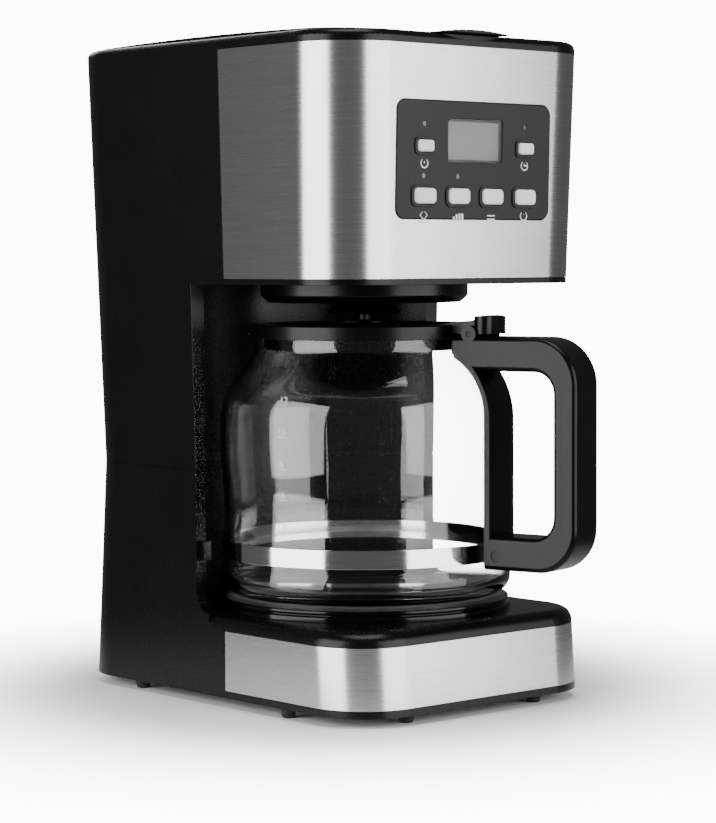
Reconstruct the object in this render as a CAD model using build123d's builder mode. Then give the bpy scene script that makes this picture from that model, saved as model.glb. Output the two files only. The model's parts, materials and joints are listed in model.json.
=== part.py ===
from build123d import *
import os
from math import cos, radians, sin

# Programmable drip coffee maker with a glass carafe.
# Millimetres. +Z is up, -Y is the front. The origin is on the counter, under the middle of the base.

# ---- body ----------------------------------------------------------------------------
body_width = 167.6  # across both housings at the seam
base_depth = 218.0  # front to back of the lower housing, at the seam's height
body_top = 338.0
foot_height = 5.0
seam_z = 120.0
corner_radius = 33.0
upper_draft = 0.026  # outward lean of the upper housing's skin, mm per mm of height
lower_flare = 8.5  # how far the base's front and back stand out at the bottom
head_setback = 3.2  # head front behind the base front, at the seam's height
wall = 2.5
base_top = 46.7
base_edge_radius = 7.0
bay_corner_radius = 10.0
seam_groove = 0.5
front_to_brew = 82.0  # base front to the axis of carafe, basket and warming plate
column_setback = 36.0  # column front behind the brew axis
head_floor = 214.7
fit_gap = 0.15  # around pieces that are laid or snapped into a recess

# ---- steel bands ---------------------------------------------------------------------
sheet = 0.8
head_band_low, head_band_high = 217.6, 331.9
base_band_low, base_band_high = 8.6, 39.1
head_band_rear = -18.2
base_band_rear = -14.1

# ---- carafe --------------------------------------------------------------------------
carafe_radius = 75.6
neck_radius = 57.0
glass = 2.2
recess_clearance = 9.9  # carafe to the concave front of the column
carafe_floor = 54.4
band_low, band_high = 73.5, 83.0
neck_low, neck_high = 180.0, 188.4
spout_reach = 19.0  # lip beyond the neck
spout_clearance = 9.0  # lip to the concave front of the column, at the least
handle_angle = 14.5  # turned from the front towards the right
handle_width = 24.0
handle_reach = 56.9  # outer face of the grip beyond the glass
grip_thickness = 13.1
strap_thickness = 3.2
handle_top, handle_bottom = 188.2, 71.0
moving_gap = 0.4  # between pieces of different bodies

# ---- brewing parts -------------------------------------------------------------------
well_radius = 60.0
holder_disc_radius = 54.0
holder_low = 205.0
nozzle_radius = 14.0
nozzle_flare, nozzle_low = 19.5, 199.0
plastic = 2.0
tank_low = 126.0
deck_low, deck_high = 322.0, 324.5
riser_to_rear = 25.0
tube_radius = 5.0
hose_wall = 2.4

# ---- warming plate -------------------------------------------------------------------
plate_top = carafe_floor - moving_gap
plate_sheet = 1.2
heater_opening = 58.0
heater_arc = 42.0
rod_radius = 5.0
water_tube_radius = 5.5
water_tube_z = 36.0

# ---- control panel -------------------------------------------------------------------
panel_width, panel_height = 105.2, 58.0
panel_mid_z = 275.7
panel_corner = 5.5
panel_proud = 0.6
panel_depth = 4.5
button_travel = 1.0
button_gap = 0.35
board_depth = 13.0
board_sheet = 1.6

# ---- lid -----------------------------------------------------------------------------
rim_width = 6.5
lid_gap = 0.6
lid_low = 326.0
lid_crown = 340.0
hinge_to_rear = 13.0
hinge_z = 335.5
barrel_radius = 3.0
pin_radius = 1.5
hinge_play = 0.05
tab_half_width = 24.5
swing_room = 12.0  # the lid's skirt ends this far before the hinge

# ---- places worked out from the sizes above ------------------------------------------
half_depth = base_depth / 2
brew_y = front_to_brew - half_depth
column_front = brew_y + column_setback
recess_radius = max(carafe_radius + recess_clearance, neck_radius + spout_reach + spout_clearance)
riser_y = half_depth - riser_to_rear
hinge_y = half_depth - hinge_to_rear
far = 4 * body_top  # longer than the whole object, for cutting blocks

BOTTOM = (Align.CENTER, Align.CENTER, Align.MIN)

os.makedirs("parts", exist_ok=True)


def save(piece, name):
    """Label a finished piece and write it to its own file."""
    piece.part.label = name
    export_step(piece.part, f"parts/{name}.step")


def head_front_at(z):
    """Y of the head's front skin at height z."""
    return head_setback - half_depth - upper_draft * (z - seam_z)


def rear_at(z):
    """Y of the lower housing's rear skin at height z."""
    return half_depth + lower_flare * (seam_z - z) / (seam_z - foot_height)


def lower_outline(z, inset=0.0):
    """Rounded outline of the lower body at height z, drawn in from its skin."""
    with BuildSketch(Plane.XY.offset(z)) as outline:
        RectangleRounded(body_width - 2 * inset, 2 * (rear_at(z) - inset), corner_radius - inset)
    return outline.sketch


def upper_outline(z, inset=0.0):
    """Rounded outline of the upper body at height z, drawn in from its skin."""
    grow = upper_draft * (z - seam_z) - inset
    front = half_depth - head_setback + grow
    rear = half_depth + grow
    with BuildSketch(Plane.XY.offset(z)) as outline:
        with Locations((0, (rear - front) / 2)):
            RectangleRounded(body_width + 2 * grow, front + rear, corner_radius - inset)
    return outline.sketch


def lower_block(low, high, inset=0.0, mode=Mode.ADD):
    loft(sections=[lower_outline(low, inset), lower_outline(high, inset)], ruled=True, mode=mode)


def upper_block(low, high, inset=0.0, mode=Mode.ADD):
    loft(sections=[upper_outline(low, inset), upper_outline(high, inset)], ruled=True, mode=mode)


def bay_space(low, high, grow=0.0):
    """Cut away the carafe's bay: all that is in front of the column, and the column's concave face."""
    with Locations((0, column_front + grow, low)):
        Box(far, far, high - low, align=(Align.CENTER, Align.MAX, Align.MIN), mode=Mode.SUBTRACT)
    with Locations((0, brew_y, low)):
        Cylinder(recess_radius + grow, high - low, align=BOTTOM, mode=Mode.SUBTRACT)


def keep_before(y):
    """Cut away everything behind y."""
    with Locations((0, y)):
        Box(far, far, far, align=(Align.CENTER, Align.MIN, Align.CENTER), mode=Mode.SUBTRACT)


def post(x, y, low, high, radius, mode=Mode.ADD):
    with Locations((x, y, low)):
        Cylinder(radius, high - low, align=BOTTOM, mode=mode)


def slab(x, y, low, size_x, size_y, size_z, mode=Mode.ADD):
    with Locations((x, y, low)):
        Box(size_x, size_y, size_z, align=BOTTOM, mode=mode)


def turned(points, centre_y=brew_y):
    """Solid of revolution about the vertical brew axis, from (radius, height) points."""
    with BuildPart() as solid:
        with BuildSketch(Plane.XZ.offset(-centre_y)):
            with BuildLine():
                Polyline(*points, close=True)
            make_face()
        revolve(axis=Axis((0, centre_y, 0), (0, 0, 1)))
    return solid.part


# ---- control panel layout, on the head's leaning front ---------------------------------------------------
panel_face = Plane(
    origin=(0, head_front_at(panel_mid_z), panel_mid_z), x_dir=(1, 0, 0), z_dir=(0, -1, -upper_draft)
)
small_cap, large_cap = (10.2, 5.8, 1.6), (14.0, 7.7, 2.4)
column_step = 22.9
outer_column = 1.5 * column_step
upper_row, lower_row = 6.7, -17.6
buttons = {
    "hour_button": ((-outer_column, upper_row), small_cap),
    "minute_button": ((outer_column, upper_row), small_cap),
    "clean_button": ((-outer_column, lower_row), large_cap),
    "strong_button": ((-column_step / 2, lower_row), large_cap),
    "program_button": ((column_step / 2, lower_row), large_cap),
    "power_button": ((outer_column, lower_row), large_cap),
}
light_spots = [
    (-outer_column, upper_row + 10.7),
    (outer_column, upper_row + 10.7),
    (-outer_column, lower_row + 9.7),
    (-column_step / 2, lower_row + 9.7),
]
light_radius = 1.25
window_size = (34.6, 18.5)
window_spot = (0.0, 9.75)
window_lip = 1.5
module_margin = 4.0
cap_proud = 2.6
flange_margin = 1.2
flange_top = -panel_depth - 0.3
stem_end = -8.5
switch_top = stem_end - button_travel - 0.4
board_screw_spots = [(sx * 47.5, sy * 24.0) for sx in (-1, 1) for sy in (-1, 1)]


def panel_slab(size, radius, outer, inner, spots=((0, 0),), mode=Mode.ADD):
    """Rounded slab parallel to the head's front, between two depths measured outwards from its skin."""
    with BuildSketch(panel_face.offset(inner)) as shape:
        with Locations(*spots):
            RectangleRounded(size[0], size[1], radius)
    extrude(to_extrude=shape.sketch, amount=outer - inner, mode=mode)


def panel_rod(radius, outer, inner, spots, mode=Mode.ADD):
    """Round rods square to the head's front, between two depths measured outwards from its skin."""
    with BuildSketch(panel_face.offset(inner)) as shape:
        with Locations(*spots):
            Circle(radius)
    extrude(to_extrude=shape.sketch, amount=outer - inner, mode=mode)


def grown(size, margin):
    return (size[0] + 2 * margin, size[1] + 2 * margin)


panel_opening = grown((panel_width, panel_height), fit_gap)

# ---- housings ------------------------------------------------------------------------
cover_sheet = 2.2
cover_inset = 1.2
boss_radius = 4.5
screw_radius = 1.4
screw_head = 2.7
front_boss = (62.0, 27.0)  # from the middle, and from the base's front edge
rear_boss = (50.0, 8.2)
base_boss_spots = [
    (side * x, y)
    for side in (-1, 1)
    for x, y in (
        (front_boss[0], front_boss[1] - rear_at(foot_height)),
        (rear_boss[0], rear_at(foot_height) - rear_boss[1]),
    )
]
inner_half_width = body_width / 2 - wall
lug_x = inner_half_width - 5.3
lug_size = 12.0
lug_ys = (column_front + 16.0, half_depth - corner_radius - 6.0)
lug_spots = [(side * lug_x, y) for side in (-1, 1) for y in lug_ys]
clamp_x = heater_opening + 5.5
clamp_low = water_tube_z - water_tube_radius
heater_lead_x = 20.0
gland_x, gland_z = 24.0, 22.0
gland_radius = 6.0
catch_low, catch_size = 73.0, (5.0, 4.0, 10.0)

with BuildPart() as base_steel_band:
    lower_block(base_band_low, base_band_high)
    lower_block(base_band_low - 1, base_band_high + 1, sheet, Mode.SUBTRACT)
    keep_before(base_band_rear)
save(base_steel_band, "base_steel_band")

with BuildPart() as base_band_pocket:
    lower_block(base_band_low - fit_gap, base_band_high + fit_gap)
    lower_block(base_band_low - 1, base_band_high + 1, sheet, Mode.SUBTRACT)
    keep_before(base_band_rear + fit_gap)

with BuildPart() as lower_cavity:
    lower_block(foot_height - 1, seam_z + 1, wall)
    bay_space(base_top - wall, seam_z + 2, wall)

with BuildPart() as column_foot:
    lower_block(foot_height, seam_z - seam_groove)
    lower_block(seam_z - 2 * seam_groove, seam_z, sheet)
    with BuildSketch(Plane.YZ) as front_cut:
        with Locations((column_front, base_top)):
            Rectangle(far, far, align=(Align.MAX, Align.MIN))
        fillet(front_cut.vertices().sort_by(Axis.X)[-2:].sort_by(Axis.Y)[0], bay_corner_radius)
    extrude(amount=far, both=True, mode=Mode.SUBTRACT)
    with Locations((0, column_front - bay_corner_radius)):
        Box(far, far, far, align=(Align.CENTER, Align.MAX, Align.CENTER), mode=Mode.SUBTRACT)
    with Locations((0, brew_y, base_top)):
        Cylinder(recess_radius, far, align=BOTTOM, mode=Mode.SUBTRACT)

with BuildPart() as lower_housing:
    lower_block(foot_height, base_top)
    fillet(lower_housing.faces().sort_by(Axis.Z)[-1].edges(), base_edge_radius)
    add(column_foot.part)
    add(lower_cavity.part, mode=Mode.SUBTRACT)
    add(base_band_pocket.part, mode=Mode.SUBTRACT)
    lower_block(foot_height - 1, foot_height + cover_sheet, cover_inset, Mode.SUBTRACT)
    post(0, brew_y, base_top - 2 * wall, base_top + 1, heater_opening, Mode.SUBTRACT)
    for x, y in base_boss_spots:
        post(x, y, foot_height + cover_sheet, base_top - wall if y < 0 else 30.0, boss_radius)
    for x in (-clamp_x, clamp_x):
        post(x, brew_y, clamp_low, base_top - wall / 2, boss_radius)
    for x, y in lug_spots:
        slab(x, y, seam_z - 8.0, lug_size, lug_size, 8.0)
    bay_space(base_top + bay_corner_radius, seam_z + 1)
    for x, y in lug_spots:
        post(x, y, foot_height, seam_z + 1, screw_radius + fit_gap, Mode.SUBTRACT)
    for x, y in base_boss_spots:
        post(x, y, foot_height, foot_height + 20, screw_radius, Mode.SUBTRACT)
    for x in (-clamp_x, clamp_x):
        post(x, brew_y, clamp_low, clamp_low + 12, screw_radius, Mode.SUBTRACT)
    with Locations(Plane.XZ.offset(-rear_at(gland_z) - 5)):
        with Locations((gland_x, gland_z)):
            Cylinder(gland_radius + fit_gap, 20, mode=Mode.SUBTRACT)
    for side in (-1, 1):  # small snap catches that stand out of the column's margins
        slab(side * (body_width / 2 - 5.0), column_front - 1.0, catch_low, *catch_size)
save(lower_housing, "lower_housing")

with BuildPart() as upper_steel_band:
    upper_block(head_band_low, head_band_high)
    upper_block(head_band_low - 1, head_band_high + 1, sheet, Mode.SUBTRACT)
    keep_before(head_band_rear)
    panel_slab(panel_opening, panel_corner, 5, -5, mode=Mode.SUBTRACT)
save(upper_steel_band, "upper_steel_band")

with BuildPart() as head_band_pocket:
    upper_block(head_band_low - fit_gap, head_band_high + 1)
    upper_block(head_band_low - 1, head_band_high + 2, sheet, Mode.SUBTRACT)
    keep_before(head_band_rear + fit_gap)

with BuildPart() as upper_cavity:
    upper_block(seam_z - 1, head_band_high + 1, wall)
    bay_space(seam_z - 2, head_floor + wall, wall)

with BuildPart() as upper_housing:
    upper_block(seam_z, head_band_high)
    bay_space(seam_z - 1, head_floor)
    add(upper_cavity.part, mode=Mode.SUBTRACT)
    add(head_band_pocket.part, mode=Mode.SUBTRACT)
    post(0, brew_y, head_floor - 1, head_floor + 2 * wall, holder_disc_radius + fit_gap, Mode.SUBTRACT)
    for x, y in lug_spots:
        slab(x, y, seam_z, lug_size, lug_size, tank_low - seam_z)
    bay_space(seam_z - 1, head_floor)
    for x, y in lug_spots:
        post(x, y, seam_z - 1, tank_low + 1, screw_radius, Mode.SUBTRACT)
    panel_slab(panel_opening, panel_corner, 5, -2 * wall, mode=Mode.SUBTRACT)
save(upper_housing, "upper_housing")

# ---- control panel -------------------------------------------------------------------
with BuildPart() as control_panel:
    panel_slab((panel_width, panel_height), panel_corner, panel_proud, -panel_depth)
    fillet(control_panel.faces().sort_by(Axis.Y)[0].edges(), panel_proud)
    panel_slab(grown((panel_width, panel_height), 3.0), panel_corner, -wall - 0.05, -panel_depth)
    for spot, cap in buttons.values():
        panel_slab(grown(cap, 1.6), cap[2] + 1.2, panel_proud + 0.8, 0, (spot,))
        panel_slab(grown(cap, button_gap), cap[2], 5, -9, (spot,), Mode.SUBTRACT)
    panel_slab(window_size, 1.0, 5, -9, (window_spot,), Mode.SUBTRACT)
    panel_slab(grown(window_size, window_lip), 1.5, 5, -0.9, (window_spot,), Mode.SUBTRACT)
    panel_rod(light_radius + 0.1, 5, -9, light_spots, Mode.SUBTRACT)
    panel_rod(3.0, -panel_depth, -board_depth, board_screw_spots)
    panel_rod(screw_radius, -7, -board_depth - 1, board_screw_spots, Mode.SUBTRACT)
save(control_panel, "control_panel")

with BuildPart() as display_window:
    panel_slab(grown(window_size, window_lip - fit_gap), 1.3, panel_proud - 0.3, -0.9, (window_spot,))
save(display_window, "display_window")

with BuildPart() as lcd_module:
    panel_slab(grown(window_size, module_margin), 1.0, -panel_depth, -board_depth, (window_spot,))
    panel_slab(grown(window_size, -fit_gap), 0.8, -1.4, -panel_depth, (window_spot,))
save(lcd_module, "lcd_module")

with BuildPart() as control_board:
    panel_slab(grown((panel_width, panel_height), -1.0), 1.0, -board_depth, -board_depth - board_sheet)
    panel_rod(screw_radius + fit_gap, 0, -20, board_screw_spots, Mode.SUBTRACT)
save(control_board, "control_board")

with BuildPart() as tact_switches:
    for spot, cap in buttons.values():
        panel_slab((6.0, 6.0), 0.5, switch_top - 0.8, -board_depth, (spot,))
        panel_rod(1.7, switch_top, switch_top - 0.8, (spot,))
save(tact_switches, "tact_switches")

for name, (spot, cap) in buttons.items():
    with BuildPart() as button:
        panel_slab(cap, cap[2], cap_proud, flange_top, (spot,))
        fillet(button.faces().sort_by(Axis.Y)[0].edges(), 0.9)
        panel_slab(grown(cap, flange_margin), cap[2], flange_top, flange_top - 1.5, (spot,))
        panel_slab((4.0, 4.0), 0.8, flange_top, stem_end, (spot,))
    save(button, name)

with BuildPart() as indicator_lights:
    panel_rod(light_radius, 0.3, -board_depth, light_spots)
save(indicator_lights, "indicator_lights")

# ---- base cover, feet, gland ---------------------------------------------------------
foot_top_radius, foot_bottom_radius = 4.4, 3.2
stem_radius = 2.0
foot_spots = [
    (side * x, y)
    for side in (-1, 1)
    for x, y in (
        (44.2, 10.5 - rear_at(foot_height)),
        (body_width / 2 - 5.6, brew_y - 30.5),
        (body_width / 2 - 8.0, half_depth - 43.0),
    )
]
board_x, board_y, board_z = 0.0, half_depth - 30.0, 13.0
power_board_size = (96.0, 44.0)
power_screw_spots = [(board_x + sx * 43.0, board_y + sy * 17.0) for sx in (-1, 1) for sy in (-1, 1)]
cover_top = foot_height + cover_sheet

with BuildPart() as base_cover:
    lower_block(foot_height, cover_top, cover_inset + 0.1)
    for x, y in base_boss_spots:
        post(x, y, 0, far, screw_radius + fit_gap, Mode.SUBTRACT)
        post(x, y, 0, foot_height + 1.2, 3.0, Mode.SUBTRACT)
    for x, y in foot_spots:
        post(x, y, 0, far, stem_radius + 0.1, Mode.SUBTRACT)
    for x, y in power_screw_spots:
        post(x, y, cover_top, board_z, 3.0)
        post(x, y, foot_height + 1, board_z + 1, screw_radius, Mode.SUBTRACT)
    with GridLocations(9.0, 30.0, 9, 1):  # air slots under the heater
        with Locations((0, brew_y)):
            Box(3.0, 34.0, far, mode=Mode.SUBTRACT)
save(base_cover, "base_cover")

with BuildPart() as feet:
    for x, y in foot_spots:
        with Locations((x, y, 0)):
            Cone(foot_bottom_radius, foot_top_radius, foot_height, align=BOTTOM)
        post(x, y, foot_height - 1, cover_top, stem_radius)
        with Locations((x, y, cover_top)):
            Cone(stem_radius + 1.0, stem_radius - 0.6, 2.5, align=BOTTOM)
save(feet, "feet")

with BuildPart() as cord_gland:
    with Locations(Plane.XZ.offset(-rear_at(gland_z))):
        with Locations((gland_x, gland_z)):
            Cylinder(gland_radius + 3.0, 6.0)
    add(lower_housing.part, mode=Mode.SUBTRACT)
    with Locations(Plane.XZ.offset(-rear_at(gland_z))):
        with Locations((gland_x, gland_z)):
            Cylinder(3.6, 40.0, mode=Mode.SUBTRACT)
save(cord_gland, "cord_gland")

# ---- heater --------------------------------------------------------------------------
rod_z = plate_top - plate_sheet - rod_radius
arc_end_y = brew_y + (heater_arc**2 - heater_lead_x**2) ** 0.5
lead_end_y = arc_end_y + 30.0


def lying_rod(x, from_y, to_y, z, radius, mode=Mode.ADD):
    """Round rod along Y."""
    with BuildSketch(Plane.XZ.offset(-to_y)) as section:
        with Locations((x, z)):
            Circle(radius)
    extrude(to_extrude=section.sketch, amount=to_y - from_y, mode=mode)


def cross_rod(y, z, radius, x_low, x_high, mode=Mode.ADD):
    """Round rod along X."""
    with BuildSketch(Plane.YZ.offset(x_low)) as section:
        with Locations((y, z)):
            Circle(radius)
    extrude(to_extrude=section.sketch, amount=x_high - x_low, mode=mode)


with BuildPart() as heating_element:
    with BuildSketch(Plane.XY.offset(water_tube_z)):
        with Locations((0, brew_y)):
            Circle(heater_arc + 2.0)
            Circle(heater_arc - 2.0, mode=Mode.SUBTRACT)
    extrude(amount=rod_z - water_tube_z)
    for z, radius in ((rod_z, rod_radius), (water_tube_z, water_tube_radius)):
        with Locations((0, brew_y, z)):
            Torus(heater_arc, radius)
    with Locations((0, brew_y, 0)):
        Box(2 * heater_lead_x, far, far, align=(Align.CENTER, Align.MIN, Align.CENTER), mode=Mode.SUBTRACT)
    for x in (-heater_lead_x, heater_lead_x):
        lying_rod(x, arc_end_y - 6.0, arc_end_y + 8.0, rod_z, rod_radius)
        lying_rod(x, arc_end_y - 6.0, lead_end_y, water_tube_z, tube_radius)
        lying_rod(x, arc_end_y + 8.0, arc_end_y + 11.0, rod_z, 1.2)
        lying_rod(x, lead_end_y - 24.0, lead_end_y + 1, water_tube_z, tube_radius - 1.2, Mode.SUBTRACT)
save(heating_element, "heating_element")

with BuildPart() as warming_plate:
    add(turned([(0, plate_top - plate_sheet), (0, plate_top), (carafe_radius - 4.0, plate_top),
                (carafe_radius - 2.4, plate_top - 1.6), (carafe_radius - 2.4, plate_top - 3.4),
                (carafe_radius - 3.8, plate_top - 3.4), (carafe_radius - 3.8, plate_top - 2.0),
                (carafe_radius - 4.6, plate_top - plate_sheet)]))
save(warming_plate, "warming_plate")

ring_outer = carafe_radius
with BuildPart() as plate_ring:
    add(turned([(heater_opening - 4.0, base_top), (ring_outer, base_top), (ring_outer, base_top + 2.6),
                (ring_outer - 1.6, base_top + 3.2), (ring_outer - 1.6, base_top + 3.8),
                (ring_outer - 0.8, base_top + 4.2), (ring_outer - 0.8, base_top + 5.6),
                (ring_outer - 2.2, base_top + 6.0), (ring_outer - 2.2, plate_top - 3.4),
                (heater_opening - 4.0, plate_top - 3.4)]))
save(plate_ring, "plate_ring")

clamp_sheet = 2.0
thermostat_radius = 8.0
with BuildPart() as heater_clamp:
    slab(0, brew_y, clamp_low - clamp_sheet, 2 * clamp_x + 12.0, 14.0, clamp_sheet)
    slab(0, brew_y - heater_arc / 2, clamp_low - clamp_sheet, 14.0, heater_arc + 16.0, clamp_sheet)
    for x in (-clamp_x, clamp_x):
        post(x, brew_y, 0, far, screw_radius + fit_gap, Mode.SUBTRACT)
save(heater_clamp, "heater_clamp")

with BuildPart() as thermostat:
    post(0, brew_y - heater_arc, clamp_low - clamp_sheet - 5.0, clamp_low - clamp_sheet, thermostat_radius)
    post(0, brew_y - heater_arc, clamp_low - clamp_sheet - 9.0, clamp_low - clamp_sheet - 5.0, 6.0)
    for x in (-4.0, 4.0):
        slab(x, brew_y - heater_arc, clamp_low - clamp_sheet - 13.0, 0.8, 4.0, 5.0)
save(thermostat, "thermostat")

with BuildPart() as thermal_fuses:
    for x in (-22.0, 22.0):
        lying_rod(x, brew_y - 6.0, brew_y + 6.0, clamp_low - clamp_sheet - 2.2, 2.2)
save(thermal_fuses, "thermal_fuses")

# ---- power board in the base -----------------------------------------------------------
with BuildPart() as power_board:
    slab(board_x, board_y, board_z, *power_board_size, board_sheet)
    for x, y in power_screw_spots:
        post(x, y, board_z - 1, board_z + 5, screw_radius + fit_gap, Mode.SUBTRACT)
save(power_board, "power_board")

with BuildPart() as relay:
    slab(board_x + 33.0, board_y, board_z + board_sheet, 12.0, 19.0, 12.0)
    fillet(relay.edges().filter_by(Axis.Z), 1.0)
save(relay, "relay")

with BuildPart() as transformer:
    slab(board_x - 30.0, board_y, board_z + board_sheet, 26.0, 22.0, 7.0)
    slab(board_x - 30.0, board_y, board_z + board_sheet + 7.0, 18.0, 20.0, 5.0)
save(transformer, "transformer")

# ---- water path ----------------------------------------------------------------------
hose_radius = tube_radius + hose_wall
hose_bend = 18.0
hose_grip = 12.0
valve_radius = 8.5
spigot_radius = 6.0
valve_top, valve_low = 122.0, 98.0
spigot_low = 116.0


def hose(x, top_z, name):
    """Hose from a heater lead to the rear, round a bend and up to top_z."""
    with BuildPart() as pipe:
        with BuildLine() as path:
            FilletPolyline(
                (x, lead_end_y - hose_grip, water_tube_z), (x, riser_y, water_tube_z), (x, riser_y, top_z),
                radius=hose_bend,
            )
        with BuildSketch(Plane.XZ.offset(hose_grip - lead_end_y)):
            with Locations((x, water_tube_z)):
                Circle(hose_radius)
                Circle(tube_radius, mode=Mode.SUBTRACT)
        sweep(path=path.line)
    save(pipe, name)


hose(-heater_lead_x, valve_low, "inlet_hose")
hose(heater_lead_x, deck_low, "riser_hose")

with BuildPart() as check_valve:
    post(-heater_lead_x, riser_y, valve_low, valve_top, valve_radius)
    post(-heater_lead_x, riser_y, valve_low - hose_grip, valve_low, tube_radius)
    post(-heater_lead_x, riser_y, spigot_low, valve_top + 1, spigot_radius, Mode.SUBTRACT)
    post(-heater_lead_x, riser_y, 0, spigot_low + 1, tube_radius - 1.5, Mode.SUBTRACT)
save(check_valve, "check_valve")

tank_gap = 1.0
tank_step = head_floor + wall + tank_gap
tank_front = column_front - 7.0
tank_well_radius = well_radius + 7.0
channel_radius = hose_radius + tank_gap


def tank_form(inset):
    """The tank's shape behind the bay and the basket's well, drawn in on every side but the top."""
    upper_block(tank_low + inset, deck_low + (1 if inset else 0), wall + tank_gap + inset)
    step = tank_step + inset
    with Locations((0, column_front + wall + tank_gap + inset, step)):
        Box(far, far, far, align=(Align.CENTER, Align.MAX, Align.MAX), mode=Mode.SUBTRACT)
    with Locations((0, tank_front + inset, 0)):
        Box(far, far, far, align=(Align.CENTER, Align.MAX, Align.MIN), mode=Mode.SUBTRACT)
    post(0, brew_y, 0, step, recess_radius + wall + tank_gap + inset, Mode.SUBTRACT)
    post(0, brew_y, 0, far, tank_well_radius + inset, Mode.SUBTRACT)
    post(heater_lead_x, riser_y, 0, far, channel_radius + inset, Mode.SUBTRACT)


with BuildPart() as tank_inside:
    tank_form(plastic)

with BuildPart() as water_tank:
    tank_form(0)
    add(tank_inside.part, mode=Mode.SUBTRACT)
    post(-heater_lead_x, riser_y, spigot_low, tank_low + plastic / 2, spigot_radius)
    post(-heater_lead_x, riser_y, 0, tank_low + 2 * plastic, spigot_radius - 1.8, Mode.SUBTRACT)
save(water_tank, "water_tank")

# ---- basket holder, basket, filter and drip stop ---------------------------------------
disc = holder_disc_radius
floor_top = head_floor + wall
flange_radius = well_radius + 4.0
holder_floor = holder_low + plastic
basket_low = holder_floor + moving_gap
spout_radius = nozzle_radius - plastic - 3.6
with BuildPart() as basket_holder:
    add(turned([(nozzle_radius - plastic - 3.0, nozzle_low), (nozzle_flare, nozzle_low),
                (nozzle_flare, nozzle_low + 1.0), (nozzle_radius, holder_low), (disc - 4.0, holder_low),
                (disc, holder_low + 3.5),
                (disc, floor_top), (well_radius - 3.5, floor_top), (well_radius, deck_low - 6.0),
                (well_radius, deck_low - 2.5), (flange_radius, deck_low - 2.5), (flange_radius, deck_low),
                (well_radius - plastic, deck_low), (well_radius - plastic, deck_low - 6.0),
                (well_radius - 5.5, floor_top + plastic), (disc - plastic, floor_top + plastic),
                (disc - plastic, holder_floor + 3.0), (disc - 5.0, holder_floor),
                (nozzle_radius - plastic - 3.0, holder_floor)]))
save(basket_holder, "basket_holder")

basket_wall = 1.8
basket_top = deck_low - 4.0
shoulder_z = floor_top + plastic + 1.4
foot_r, shoulder_r, rim_r = disc - 5.4, well_radius - 6.6, well_radius - plastic - 0.9
filter_floor = basket_low + 11.6
hub_low = filter_floor - 2.0
seat_hole = 5.5
with BuildPart() as filter_basket:
    add(turned([(seat_hole, basket_low - 7.0), (spout_radius, basket_low - 7.0), (spout_radius, basket_low),
                (foot_r, basket_low), (foot_r, shoulder_z - 1.6), (shoulder_r, shoulder_z),
                (rim_r, basket_top - 2.0), (rim_r + 0.4, basket_top - 2.0), (rim_r + 0.4, basket_top),
                (rim_r - basket_wall, basket_top), (shoulder_r - basket_wall, shoulder_z + basket_wall),
                (foot_r - basket_wall, shoulder_z - 0.4), (foot_r - basket_wall, basket_low + basket_wall),
                (seat_hole, basket_low + basket_wall)]))
    with Locations((0, brew_y, basket_low + basket_wall)):
        with PolarLocations(30.0, 3):
            Box(33.0, 2.0, filter_floor - basket_low - basket_wall, align=BOTTOM)
    with Locations((0, brew_y, hub_low)):
        with PolarLocations(12.0, 3):
            Box(16.0, 2.0, filter_floor - hub_low, align=BOTTOM)
    post(0, brew_y, hub_low, filter_floor, 6.5)
    for side in (-1, 1):
        slab(side * (rim_r - 1.0), brew_y, basket_top - 6.0, 1.8, 16.0, 9.5)
save(filter_basket, "filter_basket")

mesh = 0.8
with BuildPart() as mesh_filter:
    add(turned([(0, filter_floor), (foot_r - 8.0, filter_floor), (rim_r - 6.5, basket_top - 10.0),
                (rim_r - 3.4, basket_top - 10.0), (rim_r - 3.4, basket_top - 8.0),
                (rim_r - 6.5 - mesh, basket_top - 8.0), (foot_r - 8.0 - mesh, filter_floor + mesh),
                (0, filter_floor + mesh)]))
save(mesh_filter, "mesh_filter")

valve_lift = 2.0
plunger_tip = 194.9
seal_low = basket_low + basket_wall + valve_lift
spring_wire = 0.35
with BuildPart() as drip_stop_valve:
    post(0, brew_y, plunger_tip, seal_low + 1, 3.0)
    post(0, brew_y, seal_low, seal_low + 1.6, seat_hole + 2.0)
    fillet(drip_stop_valve.edges().sort_by(Axis.Z)[0], 1.2)
save(drip_stop_valve, "drip_stop_valve")

spring_low = seal_low + 1.6 + spring_wire
spring_height = hub_low - spring_wire - spring_low
with BuildPart() as drip_stop_spring:
    with BuildLine(Plane.XY.offset(spring_low)) as coil:
        with Locations((0, brew_y)):
            Helix(pitch=spring_height / 3, height=spring_height, radius=4.5)
    with BuildSketch(Plane(origin=coil.line @ 0, z_dir=coil.line % 0)):
        Circle(spring_wire)
    sweep(path=coil.line, is_frenet=True)
save(drip_stop_spring, "drip_stop_spring")

# ---- top frame, lid and shower ---------------------------------------------------------
lug_inner, lug_outer = 41.0, 49.0
strip_front = hinge_y + barrel_radius + 1.0
rim_fillet = 4.0
scoop_low = 334.6
scoop_radius = (tab_half_width**2 + (body_top - scoop_low) ** 2) / (2 * (body_top - scoop_low))

with BuildPart() as lid_end:  # the opening beside the hinge, as wide as the lid's corners swing
    upper_block(deck_high, body_top + 1, rim_width)
    keep_before(hinge_y)
    with Locations((0, hinge_y - swing_room / 3)):
        Box(far, far, far, align=(Align.CENTER, Align.MAX, Align.CENTER), mode=Mode.SUBTRACT)
lid_end_width = lid_end.part.bounding_box().size.X

with BuildPart() as lid_space:
    upper_block(deck_high, body_top + 1, rim_width)
    keep_before(strip_front)
    with Locations((0, strip_front, deck_high)):
        Box(lid_end_width, strip_front - hinge_y + swing_room / 4, far,
            align=(Align.CENTER, Align.MAX, Align.MIN))

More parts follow.
